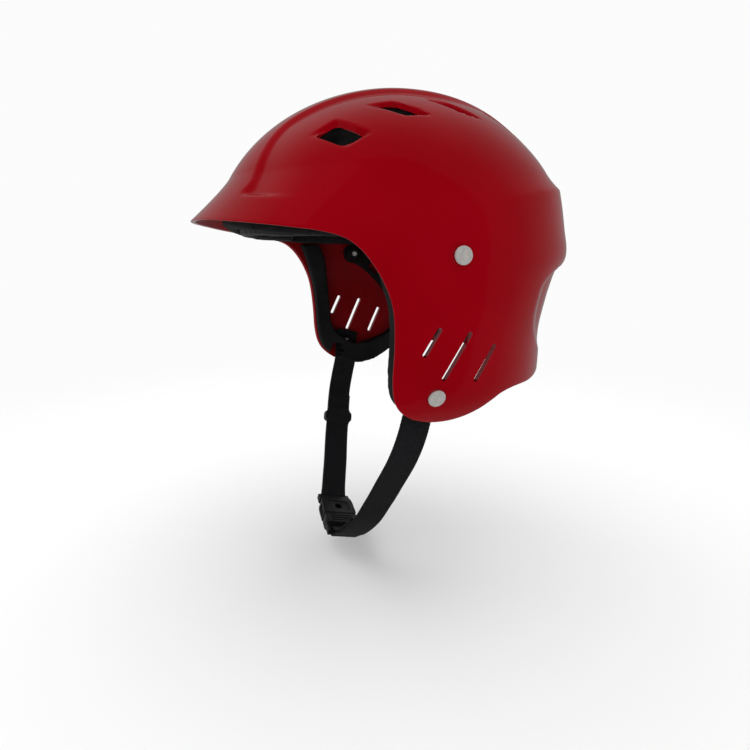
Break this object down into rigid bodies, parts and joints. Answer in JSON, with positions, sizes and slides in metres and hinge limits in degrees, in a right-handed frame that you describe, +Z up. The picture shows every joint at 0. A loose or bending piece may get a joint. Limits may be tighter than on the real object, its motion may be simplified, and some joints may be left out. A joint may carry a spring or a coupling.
{
  "type": "water rescue helmet",
  "caption": "Full-cut whitewater helmet: glossy hard shell with ear pieces and vents, foam liner, comfort pads, dial-adjusted nape cradle and a webbing chin strap with slider and buckle.",
  "frame": {"origin": "midway between the two temple screws, where the wearer's head sits", "axes": "+Z up, -Y the way the wearer looks, +X the wearer's left"},
  "size_m": [0.2292, 0.2712, 0.3315],
  "materials": {
    "shell": "gloss",
    "foam": "matt closed-cell foam",
    "pad": "brushed knit over foam",
    "steel": "satin",
    "nylon": "satin moulded",
    "webbing": "woven"
  },
  "bodies": {
    "helmet": {"shell": "shell", "liner_front": "foam", "liner_rear": "foam", "liner_crown": "foam", "liner_left": "foam", "liner_right": "foam", "ear_pad_left": "foam", "ear_pad_right": "foam", "brow_pad": "pad", "side_pad_left": "pad", "side_pad_right": "pad", "rear_pad": "pad", "crown_pad": "pad", "temple_screw_left": "steel", "temple_screw_right": "steel", "temple_boss_left": "nylon", "temple_boss_right": "nylon", "strap_rivet_left": "steel", "strap_rivet_right": "steel", "strap_washer_left": "nylon", "strap_washer_right": "nylon"},
    "cradle": {"cradle_arm_left": "nylon", "cradle_arm_right": "nylon"},
    "yoke": {"cradle_yoke": "nylon", "nape_pad": "pad", "dial_housing": "nylon"},
    "dial": {"dial_knob": "nylon", "dial_pinion": "nylon"},
    "chin_strap": {"strap_left": "webbing", "strap_right": "webbing", "buckle_socket": "nylon", "buckle_plug": "nylon"},
    "slider": {"strap_slider": "nylon"},
    "release_rear": {"release_arm_rear": "nylon"},
    "release_front": {"release_arm_front": "nylon"}
  },
  "joints": [
    {"name": "cradle_tilt", "type": "hinge", "parent": "helmet", "child": "cradle", "pos_m": [0, 0, 0], "axis": [1, 0, 0], "range_deg": [-6, 8]},
    {"name": "yoke_slide", "type": "slide", "parent": "cradle", "child": "yoke", "axis": [0, -1, 0], "range_m": [0, 0.012]},
    {"name": "dial_turn", "type": "hinge", "parent": "yoke", "child": "dial", "pos_m": [0, 0.0878, -0.063], "axis": [0, 1, 0], "range_deg": [0, 140]},
    {"name": "chin_swing", "type": "hinge", "parent": "helmet", "child": "chin_strap", "pos_m": [0, -0.01, -0.0825], "axis": [1, 0, 0], "range_deg": [-12, 12]},
    {"name": "slider_slide", "type": "slide", "parent": "chin_strap", "child": "slider", "axis": [0.4877, -0.2038, -0.8489], "range_m": [-0.008, 0.012]},
    {"name": "release_rear_press", "type": "hinge", "parent": "chin_strap", "child": "release_rear", "pos_m": [-0.0083, -0.03277, -0.2112], "axis": [0.1778, 0.2297, 0.9569], "range_deg": [0, 10], "stiffness_Nm_per_rad": 0.3},
    {"name": "release_front_press", "type": "hinge", "parent": "chin_strap", "child": "release_front", "pos_m": [-0.0083, -0.04814, -0.20751], "axis": [-0.1778, -0.2297, -0.9569], "range_deg": [0, 10], "stiffness_Nm_per_rad": 0.3}
  ],
  "couplings": [
    {"joint": "dial_turn", "follows": "yoke_slide", "rad_per_m": 200}
  ]
}
